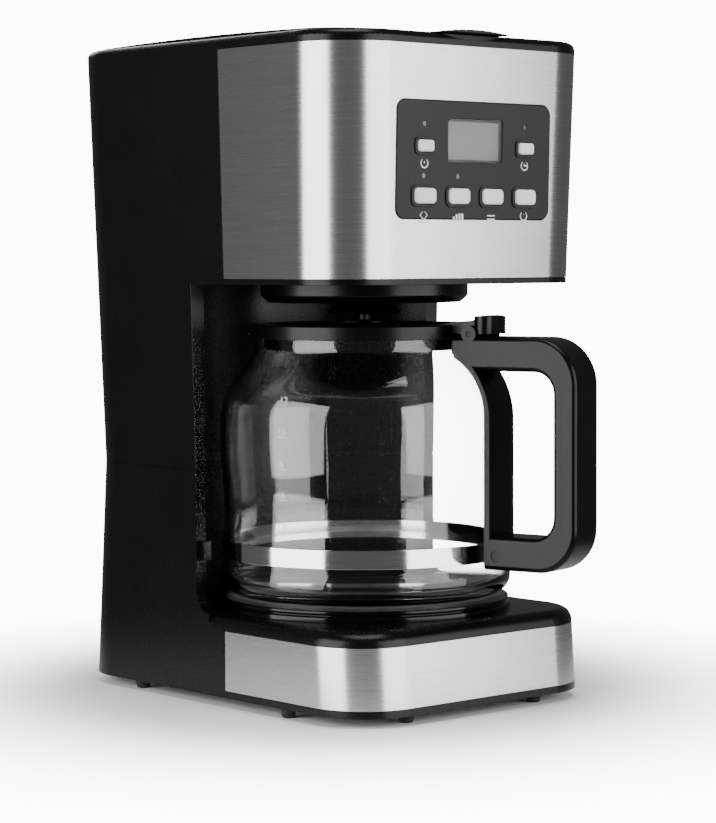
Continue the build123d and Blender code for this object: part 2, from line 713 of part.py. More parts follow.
with BuildPart() as strip_hollow:
    upper_block(deck_low - 1, body_top - wall, 2 * wall)
    with Locations((0, strip_front + wall)):
        Box(far, far, far, align=(Align.CENTER, Align.MAX, Align.CENTER), mode=Mode.SUBTRACT)

with BuildPart() as tank_mouth:
    upper_block(deck_low - 1, deck_high + 1, rim_width + 4.0)
    keep_before(hinge_y - 4.0)
    with Locations((0, column_front + 4.0)):
        Box(far, far, far, align=(Align.CENTER, Align.MAX, Align.CENTER), mode=Mode.SUBTRACT)
    post(0, brew_y, 0, far, tank_well_radius + 4.0, Mode.SUBTRACT)
    post(heater_lead_x, riser_y, 0, far, channel_radius + 4.0, Mode.SUBTRACT)

with BuildPart() as top_frame:
    upper_block(head_band_high, body_top)
    fillet(top_frame.faces().sort_by(Axis.Z)[-1].edges(), rim_fillet)
    upper_block(deck_low, head_band_high, wall + fit_gap)
    add(lid_space.part, mode=Mode.SUBTRACT)
    add(strip_hollow.part, mode=Mode.SUBTRACT)
    add(tank_mouth.part, mode=Mode.SUBTRACT)
    post(0, brew_y, deck_low - 1, deck_high + 1, well_radius + 0.5, Mode.SUBTRACT)
    post(heater_lead_x, riser_y, deck_low - hose_grip, deck_high + 1.0, tube_radius)
    post(heater_lead_x, riser_y, 0, far, tube_radius - 1.5, Mode.SUBTRACT)
    lying_rod(0, -half_depth - 20, head_front_at(body_top) + rim_width + 2, scoop_low + scoop_radius,
              scoop_radius, Mode.SUBTRACT)
    for side in (-1, 1):
        x_low = min(side * lug_inner, side * lug_outer)
        with Locations((x_low, hinge_y, hinge_z - barrel_radius)):
            Box(lug_outer - lug_inner, strip_front - hinge_y + 1, 2 * barrel_radius,
                align=(Align.MIN, Align.MIN, Align.MIN))
        cross_rod(hinge_y, hinge_z, barrel_radius, x_low, x_low + lug_outer - lug_inner)
    cross_rod(hinge_y, hinge_z, pin_radius, -lug_outer - 1, lug_outer + 1, Mode.SUBTRACT)
save(top_frame, "top_frame")

with BuildPart() as lid_hinge_pin:
    cross_rod(hinge_y, hinge_z, pin_radius, -lug_outer, lug_outer)
save(lid_hinge_pin, "lid_hinge_pin")

dome_drop = 1.98  # of the lid's top, from its crown to the ends of the body
dome_radius = half_depth**2 / (2 * dome_drop)


def lid_form(inset):
    """The domed lid's shape, drawn in on every side but the bottom."""
    upper_block(lid_low - (1 if inset else 0), lid_crown + 2, rim_width + lid_gap + inset)
    keep_before(hinge_y - inset)
    with Locations((0, 0, lid_crown - dome_radius)):
        Cylinder(dome_radius - inset, far, rotation=(0, 90, 0), mode=Mode.INTERSECT)


with BuildPart() as lid_hollow:
    lid_form(plastic)

tab_ends, tab_top, tab_under = body_top + 0.4, body_top + 2.2, body_top + 0.6
with BuildPart() as lid:
    lid_form(0)
    add(lid_hollow.part, mode=Mode.SUBTRACT)
    with Locations((0, hinge_y - swing_room, hinge_z - barrel_radius)):  # room for the rear edge to swing
        Box(far, far, far, align=(Align.CENTER, Align.MIN, Align.MAX), mode=Mode.SUBTRACT)
    cross_rod(hinge_y, hinge_z, barrel_radius, -lug_inner + moving_gap, lug_inner - moving_gap)
    for side in (-1, 1):
        slab(side * (lug_inner + lug_outer) / 2, hinge_y, lid_low - 1,
             lug_outer - lug_inner + 2 * moving_gap, 2 * barrel_radius + 2 * moving_gap, 20.0, Mode.SUBTRACT)
    cross_rod(hinge_y, hinge_z, pin_radius + hinge_play, -lug_inner, lug_inner, Mode.SUBTRACT)
    with BuildSketch(Plane.XZ.offset(half_depth - head_setback - 24.0)):
        with BuildLine():
            ThreePointArc((-tab_half_width, tab_ends), (0, tab_top), (tab_half_width, tab_ends))
            ThreePointArc((tab_half_width, tab_ends), (0, tab_under), (-tab_half_width, tab_ends))
        make_face()
    extrude(amount=24.0 + upper_draft * (body_top - seam_z))
save(lid, "lid")

shower_low = deck_high + 3.8
shower_radius = 30.0
with BuildPart() as shower_head:
    with BuildSketch(Plane.XY.offset(shower_low)):
        with Locations((0, brew_y), (heater_lead_x, riser_y)):
            Circle(8.5)
        make_hull()
    extrude(amount=6.0)
    post(0, brew_y, shower_low - 4.0, shower_low + 2.0, shower_radius)
    for x, y in ((0, brew_y), (heater_lead_x * 0.6, riser_y - 45.0)):
        post(x, y, shower_low + 5.0, lid_crown - plastic, 5.0)
    with Locations((0, brew_y, 0)):
        with PolarLocations(22.0, 12):
            Cylinder(1.2, far, mode=Mode.SUBTRACT)
    post(heater_lead_x, riser_y, shower_low - 1, shower_low + 4.0, 4.0, Mode.SUBTRACT)
    add(lid.part, mode=Mode.SUBTRACT)
save(shower_head, "shower_head")

with BuildPart() as outlet_seal:
    post(heater_lead_x, riser_y, deck_high, deck_high + 3.0, hose_radius)
    post(heater_lead_x, riser_y, deck_high, deck_high + 4.0, tube_radius, Mode.SUBTRACT)
save(outlet_seal, "outlet_seal")

# ---- carafe --------------------------------------------------------------------------
radial = Vector(sin(radians(handle_angle)), -cos(radians(handle_angle)), 0)
handle_plane = Plane(origin=(0, brew_y, 0), x_dir=radial, z_dir=radial.cross(Vector(0, 0, 1)))
shoulder_end = 148.0
shoulder_fullness = 0.608  # how far the glass has come out from neck to side, 13.5 mm under the neck
waist_z, waist_depth = 104.0, 2.1
belly_z, belly_out = 63.5, 0.7
seat_in = 1.7
foot_in = 5.1
spout_low = 172.0


def carafe_half(inset):
    """Half section of the glass: neck, shoulder, waist, belly and foot, drawn in by the glass."""
    side, neck = carafe_radius - inset, neck_radius - inset
    top = neck_high + (1 if inset else 0)
    low = carafe_floor + inset
    with BuildSketch(Plane.XZ.offset(-brew_y)) as half:
        with BuildLine():
            Line((0, top), (neck, top))
            Line((neck, top), (neck, neck_low))
            Spline((neck, neck_low), (neck + shoulder_fullness * (side - neck), neck_low - 13.5),
                   (side, shoulder_end), tangents=((0.15, -1), (0, -1)))
            Line((side, shoulder_end), (side, waist_z + 25))
            Spline((side, waist_z + 25), (side - waist_depth, waist_z), (side - seat_in, band_high + 1),
                   tangents=((0, -1), (0, -1)))
            Line((side - seat_in, band_high + 1), (side - seat_in, band_low - 1))
            Spline((side - seat_in, band_low - 1), (side + belly_out, belly_z), (side - foot_in, low),
                   tangents=((0, -1), (-1, -0.35)))
            Line((side - foot_in, low), (0, low))
            Line((0, low), (0, top))
        make_face()
    revolve(profiles=half.sketch.faces(), axis=Axis((0, brew_y, 0), (0, 0, 1)))


def spout_form(inset):
    """Pouring lip: a round funnel that leans out of the neck, opposite the handle."""
    ends = []
    root_ring = (spout_low, neck_radius - 4.0, 7.0)
    lip_ring = (neck_high + (0.5 if inset else 0.0), neck_radius + spout_reach - 9.5, 9.5)
    for z, reach, radius in (root_ring, lip_ring):
        with BuildSketch(Plane.XY.offset(z)) as ring:
            with Locations((-radial.X * reach, brew_y - radial.Y * reach)):
                Circle(radius - inset)
        ends.append(ring.sketch)
    loft(sections=ends, ruled=True)


with BuildPart() as carafe_space:
    carafe_half(glass)
    spout_form(glass)

with BuildPart() as carafe_glass:
    carafe_half(0)
    spout_form(0)
    add(carafe_space.part, mode=Mode.SUBTRACT)
save(carafe_glass, "carafe_glass")

seat_radius = carafe_radius - seat_in
band_sheet = 0.9
ear_gap = 3.0
root = carafe_radius + 4.4
ear_reach = root + 12.0
band_screw_spot = (root + 7.0, (band_low + band_high) / 2)
with BuildPart() as carafe_band:
    with BuildSketch(Plane.XY.offset(band_low)):
        with Locations((0, brew_y)):
            Circle(seat_radius + band_sheet)
            Circle(seat_radius, mode=Mode.SUBTRACT)
    extrude(amount=band_high - band_low)
    with BuildSketch(handle_plane):
        with Locations((seat_radius + band_sheet / 2, band_low)):
            Rectangle(ear_reach - seat_radius - band_sheet / 2, band_high - band_low,
                      align=(Align.MIN, Align.MIN))
    extrude(amount=ear_gap / 2 + band_sheet, both=True)
    with BuildSketch(handle_plane):
        with Locations((seat_radius - 2, band_low - 1)):
            Rectangle(40.0, 30.0, align=(Align.MIN, Align.MIN))
    extrude(amount=ear_gap / 2, both=True, mode=Mode.SUBTRACT)
    with BuildSketch(handle_plane):
        with Locations(band_screw_spot):
            Circle(screw_radius + fit_gap)
    extrude(amount=20, both=True, mode=Mode.SUBTRACT)
save(carafe_band, "carafe_band")

# ---- handle, in the plane of (distance from the carafe's axis, height) -------------------
outer = carafe_radius + handle_reach
arm_corner, foot_corner = 24.0, 22.0
arm_under = 171.0
arm_root = neck_radius + 5.2
root_bend = 0.309  # how far the root has come in to the arm's root, halfway up the shoulder
hole_outer = outer - grip_thickness
hole_inner = root + strap_thickness
hole_low = 88.0
seam_in = 8.2  # the cover's thickness on the grip
seam_start = outer - 25.2
lid_pin = (neck_radius + 14.0, 189.5)
ear_radius = 4.2
lever_half = 7.8
ear_outer = handle_width / 2
hook_height = 6.8
handle_edge = 2.6


def handle_slab(half_width, mode=Mode.ADD):
    extrude(amount=half_width, both=True, mode=mode)


def handle_rod(radial_mm, z, radius, low, high, mode=Mode.ADD):
    """Round rod square to the handle's plane, between two distances from that plane."""
    with BuildSketch(handle_plane.offset(low)) as section:
        with Locations((radial_mm, z)):
            Circle(radius)
    extrude(to_extrude=section.sketch, amount=high - low, mode=mode)


def grip_plane(radial_mm, z):
    """Plane square to the grip, facing away from the carafe."""
    return Plane(origin=handle_plane.origin + radial * radial_mm + Vector(0, 0, z), z_dir=radial)


def radial_mid(edge):
    """Distance of an edge's middle from the carafe's axis, along the handle's plane."""
    return (edge @ 0.5 - handle_plane.origin).dot(radial)


with BuildPart() as handle_blank:
    with BuildSketch(handle_plane):
        with BuildLine():
            Line((arm_root, handle_top), (outer - arm_corner, handle_top))
            RadiusArc((outer - arm_corner, handle_top), (outer, handle_top - arm_corner), arm_corner)
            Line((outer, handle_top - arm_corner), (outer, handle_bottom + foot_corner))
            RadiusArc((outer, handle_bottom + foot_corner), (outer - foot_corner, handle_bottom),
                      foot_corner)
            Line((outer - foot_corner, handle_bottom), (root, handle_bottom))
            Line((root, handle_bottom), (root, shoulder_end))
            ThreePointArc((root, shoulder_end), (root - root_bend * (root - arm_root), shoulder_end + 18.5),
                          (arm_root, neck_low - 2.5))
            Line((arm_root, neck_low - 2.5), (arm_root, handle_top))
        make_face()
    handle_slab(handle_width / 2)
    with BuildSketch(handle_plane):
        with BuildLine():
            Line((hole_inner, hole_low), (hole_inner, shoulder_end))
            ThreePointArc((hole_inner, shoulder_end), (hole_inner - 2.7, shoulder_end + 12.5),
                          (hole_inner - 8.6, arm_under))
            Line((hole_inner - 8.6, arm_under), (hole_outer, arm_under))
            Line((hole_outer, arm_under), (hole_outer, hole_low))
            Line((hole_outer, hole_low), (hole_inner, hole_low))
        make_face()
    handle_slab(handle_width, Mode.SUBTRACT)
    across = handle_blank.edges().filter_by(Axis(handle_plane.origin, handle_plane.z_dir))
    fillet(across.filter_by(lambda edge: abs(radial_mid(edge) - hole_outer) < 0.1), 11.0)
    sides = handle_blank.faces().sort_by(Axis(handle_plane.origin, handle_plane.z_dir))
    rims = sides[0].edges() + sides[-1].edges()
    fillet(rims.filter_by(lambda edge: radial_mid(edge) > hole_inner + 4), handle_edge)

with BuildPart() as cover_space:
    with BuildSketch(handle_plane):
        with BuildLine():
            Line((seam_start, handle_top + 5), (seam_start, handle_top - 5.2))
            ThreePointArc((seam_start, handle_top - 5.2), (outer - 12.7, handle_top - 10.6),
                          (outer - seam_in, handle_top - 26.0))
            Line((outer - seam_in, handle_top - 26.0), (outer - seam_in, handle_bottom + 26.0))
            ThreePointArc((outer - seam_in, handle_bottom + 26.0), (outer - 12.7, handle_bottom + 13.6),
                          (seam_start + 2.7, handle_bottom + 9.5))
            Line((seam_start + 2.7, handle_bottom + 9.5), (seam_start + 2.7, handle_bottom - 5))
            Polyline((seam_start + 2.7, handle_bottom - 5), (outer + 5, handle_bottom - 5),
                     (outer + 5, handle_top + 5), (seam_start, handle_top + 5))
        make_face()
    handle_slab(handle_width)

screw_zs = (105.0, 152.0)
with BuildPart() as handle_cover:
    add(handle_blank.part)
    add(cover_space.part, mode=Mode.INTERSECT)
    for z in screw_zs:
        with BuildSketch(grip_plane(outer - seam_in, z)):
            Circle(screw_radius)
        extrude(amount=5.0, mode=Mode.SUBTRACT)

with BuildPart() as handle_frame:
    add(handle_blank.part)
    add(cover_space.part, mode=Mode.SUBTRACT)
    with BuildSketch(handle_plane):  # hook that steadies the arm against the neck
        with Locations((neck_radius + 1.6, neck_low - 1.0)):
            Rectangle(arm_root - neck_radius - 1.6, hook_height, align=(Align.MIN, Align.MIN))
    handle_slab(handle_width / 2 - 4.0)
    with BuildSketch(handle_plane):  # channel for the lid's lever
        with Locations((arm_root - 1, lid_pin[1] - ear_radius)):
            Rectangle(lid_pin[0] + 6.5 - arm_root, 20.0, align=(Align.MIN, Align.MIN))
    handle_slab(lever_half + moving_gap, Mode.SUBTRACT)
    for low, high in ((-ear_outer, -lever_half - moving_gap), (lever_half + moving_gap, ear_outer)):
        handle_rod(*lid_pin, ear_radius, low, high)
    handle_rod(*lid_pin, pin_radius, -ear_outer - 1, ear_outer + 1, Mode.SUBTRACT)
    with BuildSketch(handle_plane):  # slot for the ears of the band
        with Locations((root - 1, band_low)):
            Rectangle(ear_reach - root + 1.2, band_high - band_low, align=(Align.MIN, Align.MIN))
    handle_slab(ear_gap / 2 + band_sheet, Mode.SUBTRACT)
    handle_rod(*band_screw_spot, screw_radius, -handle_width, handle_width, Mode.SUBTRACT)
    handle_rod(*band_screw_spot, screw_head + fit_gap, handle_width / 2 - 2, handle_width, Mode.SUBTRACT)
    for z in screw_zs:
        with BuildSketch(grip_plane(hole_outer - 1, z)):
            Circle(screw_radius + fit_gap)
        extrude(amount=grip_thickness, mode=Mode.SUBTRACT)
        with BuildSketch(grip_plane(hole_outer - 1, z)):
            Circle(screw_head + fit_gap)
        extrude(amount=2.6, mode=Mode.SUBTRACT)
save(handle_frame, "handle_frame")
save(handle_cover, "handle_cover")

with BuildPart() as handle_screws:
    for z in screw_zs:
        with BuildSketch(grip_plane(hole_outer, z)):
            Circle(screw_head)
        extrude(amount=1.6)
        with BuildSketch(grip_plane(hole_outer + 1, z)):
            Circle(screw_radius)
        extrude(amount=grip_thickness - seam_in + 2.5)
save(handle_screws, "handle_screws")

with BuildPart() as band_screw:
    handle_rod(*band_screw_spot, screw_radius, -handle_width / 2 + 2, handle_width / 2 - 2)
    handle_rod(*band_screw_spot, screw_head, handle_width / 2 - 2, handle_width / 2 - 0.4)
save(band_screw, "band_screw")

with BuildPart() as carafe_lid_pin:
    handle_rod(*lid_pin, pin_radius, -ear_outer + 0.4, ear_outer - 0.4)
save(carafe_lid_pin, "carafe_lid_pin")

# ---- carafe lid ----------------------------------------------------------------------
flange_low, flange_high = neck_high + moving_gap, 193.9
cap_low, cap_gap = 186.5, 0.9
cap_radius = neck_radius + 2.2
spout_clear = 12.0
dish_z = 191.5
collar_top = 194.7
skirt_radius = neck_radius - glass - 2.3
knuckle_radius = 3.6
pad_reach = lid_pin[0] + 10.5
pad_half, pad_round = handle_width / 2 - 1.5, 5.0
lever_start, lever_top = neck_radius - 12.3, 198.9
pad_under = handle_top + 1.3  # clears the arm as the lid tips open
with BuildPart() as carafe_lid:
    add(turned([(0, dish_z - plastic), (skirt_radius - plastic, dish_z - plastic),
                (skirt_radius - plastic, neck_low + 0.5), (skirt_radius, neck_low + 0.5),
                (skirt_radius, flange_low), (neck_radius + cap_gap, flange_low),
                (neck_radius + cap_gap, cap_low), (cap_radius, cap_low), (cap_radius, flange_high - 0.8),
                (cap_radius - 0.8, flange_high), (skirt_radius - 3.0, flange_high),
                (skirt_radius - 5.0, dish_z), (nozzle_flare + 0.5, dish_z), (nozzle_flare - 2.5, collar_top),
                (nozzle_flare - 4.0, collar_top), (nozzle_flare - 4.0, dish_z), (0, dish_z)]))
    with BuildSketch(handle_plane):  # the cap is open over the pouring lip
        with Locations((-skirt_radius, cap_low - 1)):
            Rectangle(far, flange_low - cap_low + 1, align=(Align.MAX, Align.MIN))
    handle_slab(spout_clear, Mode.SUBTRACT)
    with BuildSketch(handle_plane):  # lever
        with BuildLine():
            Polyline((lever_start, flange_low + 1.0), (lever_start, flange_high - 1.0),
                     (neck_radius + 2.6, lever_top - 3.6), (lid_pin[0], lever_top - 2.6),
                     (pad_reach - pad_round, lever_top), (pad_reach - 1, lever_top - 0.5),
                     (pad_reach - 1, pad_under),
                     (lid_pin[0] + 6.0, pad_under), (lid_pin[0] + 2.0, lid_pin[1] - 2.0),
                     (lid_pin[0] - 3.0, lid_pin[1] - 1.5), (neck_radius + 4.0, flange_low + 1.0),
                     (lever_start, flange_low + 1.0))
        make_face()
    handle_slab(lever_half)
    handle_rod(*lid_pin, knuckle_radius, -lever_half, lever_half)
    with BuildSketch(Plane(origin=(0, brew_y, pad_under), x_dir=radial, z_dir=(0, 0, 1))):  # thumb pad
        with Locations((pad_reach - pad_round, pad_half - pad_round),
                       (pad_reach - pad_round, pad_round - pad_half)):
            Circle(pad_round)
        make_hull()
    extrude(amount=lever_top - 0.5 - pad_under)
    for low, high in ((-ear_outer, -lever_half), (lever_half, ear_outer)):
        handle_rod(*lid_pin, ear_radius + moving_gap, low, high, Mode.SUBTRACT)
    handle_rod(*lid_pin, pin_radius + hinge_play, -handle_width, handle_width, Mode.SUBTRACT)
    post(0, brew_y, dish_z - 3, dish_z + 1, 5.0, Mode.SUBTRACT)
save(carafe_lid, "carafe_lid")

# ---- screws --------------------------------------------------------------------------


def screw(x, y, head_low, head_high, tip):
    """Pan-head screw along Z; the tip may be above or below the head."""
    post(x, y, head_low, head_high, screw_head)
    post(x, y, min(head_high, tip), max(head_low, tip), screw_radius)


with BuildPart() as base_screws:
    for x, y in base_boss_spots:
        screw(x, y, foot_height + 0.2, foot_height + 1.2, foot_height + 14.0)
save(base_screws, "base_screws")

with BuildPart() as housing_screws:
    for x, y in lug_spots:
        screw(x, y, seam_z - 10.2, seam_z - 8.0, tank_low - 1.0)
save(housing_screws, "housing_screws")

with BuildPart() as clamp_screws:
    for x in (-clamp_x, clamp_x):
        screw(x, brew_y, clamp_low - clamp_sheet - 2.2, clamp_low - clamp_sheet, clamp_low + 10.0)
save(clamp_screws, "clamp_screws")

with BuildPart() as board_screws:
    for x, y in power_screw_spots:
        screw(x, y, board_z + board_sheet, board_z + board_sheet + 2.0, board_z - 6.0)
    panel_rod(screw_head, -board_depth - board_sheet, -board_depth - board_sheet - 2.0, board_screw_spots)
    panel_rod(screw_radius, -8.0, -board_depth - board_sheet - 1.0, board_screw_spots)
save(board_screws, "board_screws")
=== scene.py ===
import json
from math import atan2, cos, hypot, pi, radians, sin

import bpy
from mathutils import Matrix, Vector

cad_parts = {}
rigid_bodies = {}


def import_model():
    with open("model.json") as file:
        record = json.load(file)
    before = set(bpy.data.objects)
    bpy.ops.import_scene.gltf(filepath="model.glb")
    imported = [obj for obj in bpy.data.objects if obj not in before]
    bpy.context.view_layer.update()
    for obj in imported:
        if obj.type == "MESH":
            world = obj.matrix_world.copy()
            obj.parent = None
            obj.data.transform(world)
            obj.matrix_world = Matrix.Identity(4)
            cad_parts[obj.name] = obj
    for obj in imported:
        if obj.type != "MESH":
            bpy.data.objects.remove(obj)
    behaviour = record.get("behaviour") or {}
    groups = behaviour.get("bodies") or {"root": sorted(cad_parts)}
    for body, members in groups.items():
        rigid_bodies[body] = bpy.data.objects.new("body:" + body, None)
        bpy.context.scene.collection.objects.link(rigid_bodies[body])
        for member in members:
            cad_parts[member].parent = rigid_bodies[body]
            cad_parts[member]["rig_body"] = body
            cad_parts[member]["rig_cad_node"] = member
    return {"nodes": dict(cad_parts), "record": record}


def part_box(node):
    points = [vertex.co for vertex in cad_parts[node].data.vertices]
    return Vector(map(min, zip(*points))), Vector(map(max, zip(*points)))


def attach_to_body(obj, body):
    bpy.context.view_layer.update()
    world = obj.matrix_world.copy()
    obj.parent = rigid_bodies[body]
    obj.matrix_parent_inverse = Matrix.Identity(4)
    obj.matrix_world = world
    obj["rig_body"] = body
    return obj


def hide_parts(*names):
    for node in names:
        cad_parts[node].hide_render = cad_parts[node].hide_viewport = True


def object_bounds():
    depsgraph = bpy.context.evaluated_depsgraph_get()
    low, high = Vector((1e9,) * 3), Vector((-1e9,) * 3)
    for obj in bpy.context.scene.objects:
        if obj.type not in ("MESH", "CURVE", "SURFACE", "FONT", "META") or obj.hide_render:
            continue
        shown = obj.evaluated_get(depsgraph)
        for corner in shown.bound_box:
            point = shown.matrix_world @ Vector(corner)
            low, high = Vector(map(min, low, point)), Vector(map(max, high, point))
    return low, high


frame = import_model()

# Drip coffee maker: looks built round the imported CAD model. Metres, +Z up, the front faces -Y.

cad_low, cad_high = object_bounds()
MM = 0.001
nodes = frame["nodes"]
body_of_node = {n: body for body, names in frame["record"]["behaviour"]["bodies"].items() for n in names}
slot_of_node = {part["node"]: part["material_slot"] for part in frame["record"]["subparts"]}


# ---- materials -----------------------------------------------------------------------
def linear(code):
    """Linear colour from an sRGB hex code such as "1a1a1b"."""
    shares = [int(code[i:i + 2], 16) / 255 for i in (0, 2, 4)]
    return tuple(s / 12.92 if s <= 0.04045 else ((s + 0.055) / 1.055) ** 2.4 for s in shares) + (1.0,)


def add_node(material, kind, inputs=(), **settings):
    """Add a node with its settings; an input takes a plain value or another node's socket."""
    made = material.node_tree.nodes.new(kind)
    for name, value in settings.items():
        setattr(made, name, value)
    for name, value in dict(inputs).items():
        if isinstance(value, bpy.types.NodeSocket):
            material.node_tree.links.new(value, made.inputs[name])
        else:
            made.inputs[name].default_value = value
    return made


def start_material(name, **sockets):
    """A new material whose Principled shader has these constants on its own sockets."""
    material = bpy.data.materials.new(name)
    material.use_nodes = True
    shader = material.node_tree.nodes["Principled BSDF"]
    for label, value in sockets.items():
        shader.inputs[label.replace("_", " ")].default_value = value
    return material, shader


def join(material, output, shader, label):
    material.node_tree.links.new(output, shader.inputs[label])


def object_coordinates(material, stretch=(1, 1, 1)):
    """Object coordinates, stretched along each axis."""
    place = add_node(material, "ShaderNodeTexCoord")
    return add_node(material, "ShaderNodeMapping", {"Vector": place.outputs["Object"], "Scale": stretch})


def grain(material, size_mm, stretch=(1, 1, 1), detail=3.0):
    """Noise whose lumps are about size_mm across."""
    place = object_coordinates(material, stretch)
    return add_node(material, "ShaderNodeTexNoise", {
        "Vector": place.outputs["Vector"], "Scale": 1 / (size_mm * MM), "Detail": detail, "Roughness": 0.55})


def tone(material, source, dark, light, low=0.3, high=0.7):
    """Colour that runs from dark to light as the source does from low to high."""
    ramp = add_node(material, "ShaderNodeValToRGB", {"Fac": source})
    ramp.color_ramp.elements[0].position, ramp.color_ramp.elements[1].position = low, high
    ramp.color_ramp.elements[0].color, ramp.color_ramp.elements[1].color = linear(dark), linear(light)
    return ramp.outputs["Color"]


def spread(material, source, low, high):
    """A number that runs from low to high as the source does from 0.3 to 0.7."""
    return add_node(material, "ShaderNodeMapRange", {
        "Value": source, "From Min": 0.3, "From Max": 0.7, "To Min": low, "To Max": high}).outputs["Result"]


def uneven_gloss(material, source, shader, roughness, swing):
    """Roughness that swings to both sides of its mean as the source does."""
    join(material, spread(material, source, roughness - swing, roughness + swing), shader, "Roughness")


def relief(material, height, shader, depth_mm, strength=1.0):
    """Bump of a given depth from a height that runs from 0 to 1."""
    bump = add_node(material, "ShaderNodeBump", {
        "Height": height, "Distance": depth_mm * MM, "Strength": strength})
    join(material, bump.outputs["Normal"], shader, "Normal")


def moulded_plastic(name, dark, light, roughness, grain_mm=0.7, depth_mm=0.004, specular=0.5):
    """ABS from a mould: even colour, with the fine grain of a spark-eroded mould in its gloss."""
    material, shader = start_material(name, IOR=1.53, Specular_IOR_Level=specular)
    fine = grain(material, grain_mm)
    broad = grain(material, 35)
    join(material, tone(material, broad.outputs["Fac"], dark, light), shader, "Base Color")
    uneven_gloss(material, fine.outputs["Fac"], shader, roughness, 0.03)
    relief(material, fine.outputs["Fac"], shader, depth_mm)
    return material


def brushed_steel():
    """Stainless sheet brushed along its length: fine level lines, and highlights that spread up and down."""
    material, shader = start_material("stainless_sheet_brushed", Metallic=1.0, Anisotropic=0.75,
                                      Anisotropic_Rotation=0.25)
    lines = grain(material, 45, (1, 1, 180), detail=5.0)  # the lines are 0.25 mm apart, as fine as shows
    streaks = grain(material, 90, (1, 1, 60), detail=2.0)
    mixed = add_node(material, "ShaderNodeMath", {0: lines.outputs["Fac"], 1: streaks.outputs["Fac"]},
                     operation="ADD")
    half = add_node(material, "ShaderNodeMath", {0: mixed.outputs[0], 1: 0.5}, operation="MULTIPLY")
    join(material, tone(material, half.outputs[0], "c8c8c7", "d3d3d2"), shader, "Base Color")
    join(material, spread(material, lines.outputs["Fac"], 0.26, 0.3), shader, "Roughness")
    relief(material, lines.outputs["Fac"], shader, 0.0015)
    along = add_node(material, "ShaderNodeTangent", direction_type="RADIAL", axis="Z")
    join(material, along.outputs["Tangent"], shader, "Tangent")
    return material


def polished_steel():
    """Stainless strip, bright rolled: mirror-like with faint level roll marks."""
    material, shader = start_material("stainless_strip_polished", Metallic=1.0)
    lines = grain(material, 20, (1, 1, 60), detail=3.0)
    join(material, tone(material, lines.outputs["Fac"], "cfcfce", "dededd"), shader, "Base Color")
    join(material, spread(material, lines.outputs["Fac"], 0.07, 0.12), shader, "Roughness")
    return material


def borosilicate_glass():
    """Blown borosilicate: clear, with the slow ripple that blowing leaves in the wall."""
    material, shader = start_material(
        "borosilicate_glass_blown", IOR=1.42, Roughness=0.0, Transmission_Weight=1.0, Specular_IOR_Level=0.15)
    ripple = grain(material, 28, (1, 1, 0.5), detail=1.0)
    relief(material, ripple.outputs["Fac"], shader, 0.12, 0.5)
    join(material, tone(material, ripple.outputs["Fac"], "f6f8f8", "fdfefe"), shader, "Base Color")
    return material


def clear_window():
    """Acrylic window: clear, with a fine haze from wiping."""
    material, shader = start_material(
        "acrylic_window", IOR=1.3, Transmission_Weight=1.0, Specular_IOR_Level=0.2)
    haze = grain(material, 6)
    join(material, spread(material, haze.outputs["Fac"], 0.02, 0.06), shader, "Roughness")
    join(material, tone(material, haze.outputs["Fac"], "eceeee", "f8f8f8"), shader, "Base Color")
    return material


def display_face():
    """Liquid-crystal cell, switched off: grey polariser with faint level lines."""
    material, shader = start_material("lcd_polariser", IOR=1.5, Roughness=0.35, Specular_IOR_Level=0.2)
    lines = grain(material, 14, (0.4, 0.4, 9), detail=2.0)
    join(material, tone(material, lines.outputs["Fac"], "6c6d6d", "7d7e7e"), shader, "Base Color")
    relief(material, lines.outputs["Fac"], shader, 0.003)
    return material


def printed_ink(name, code):
    """Screen-printed ink: a dense flat colour with a slightly uneven edge to its gloss."""
    material, shader = start_material(name, IOR=1.5)
    fine = grain(material, 0.4)
    join(material, tone(material, fine.outputs["Fac"], code, "ffffff", 0.2, 0.95), shader, "Base Color")
    join(material, spread(material, fine.outputs["Fac"], 0.4, 0.55), shader, "Roughness")
    return material


def soft_rubber(name, dark, light, roughness=0.75):
    """Moulded elastomer: matt, with a soft sheen and fine pores."""
    material, shader = start_material(name, IOR=1.52, Sheen_Weight=0.1)
    pores = grain(material, 0.5)
    join(material, tone(material, pores.outputs["Fac"], dark, light), shader, "Base Color")
    uneven_gloss(material, pores.outputs["Fac"], shader, roughness, 0.06)
    relief(material, pores.outputs["Fac"], shader, 0.02)
    return material


def plated_metal(name, dark, light, roughness, size_mm=1.2):
    """Plated or cast metal: fine mottling in its colour and gloss."""
    material, shader = start_material(name, Metallic=1.0)
    mottle = grain(material, size_mm)
    join(material, tone(material, mottle.outputs["Fac"], dark, light), shader, "Base Color")
    uneven_gloss(material, mottle.outputs["Fac"], shader, roughness, 0.06)
    relief(material, mottle.outputs["Fac"], shader, 0.01)
    return material


def woven_mesh():
    """Woven stainless wire cloth: wires 1.2 mm apart, drawn coarser than a filter's so that they show."""
    material, shader = start_material("wire_cloth_woven", Metallic=1.0, Roughness=0.35)
    place = add_node(material, "ShaderNodeTexCoord")
    spots = add_node(material, "ShaderNodeTexVoronoi", {
        "Vector": place.outputs["Object"], "Scale": 1 / (1.2 * MM)}, feature="DISTANCE_TO_EDGE")
    # Painted shade: the bright cell edges are the wires, and the dark metal in the cell middles stands for
    # the shade in the openings between them.
    colour = tone(material, spots.outputs["Distance"], "d0cfc8", "3a3a38", 0.05, 0.35)
    join(material, colour, shader, "Base Color")
    relief(material, spots.outputs["Distance"], shader, 0.1)
    return material


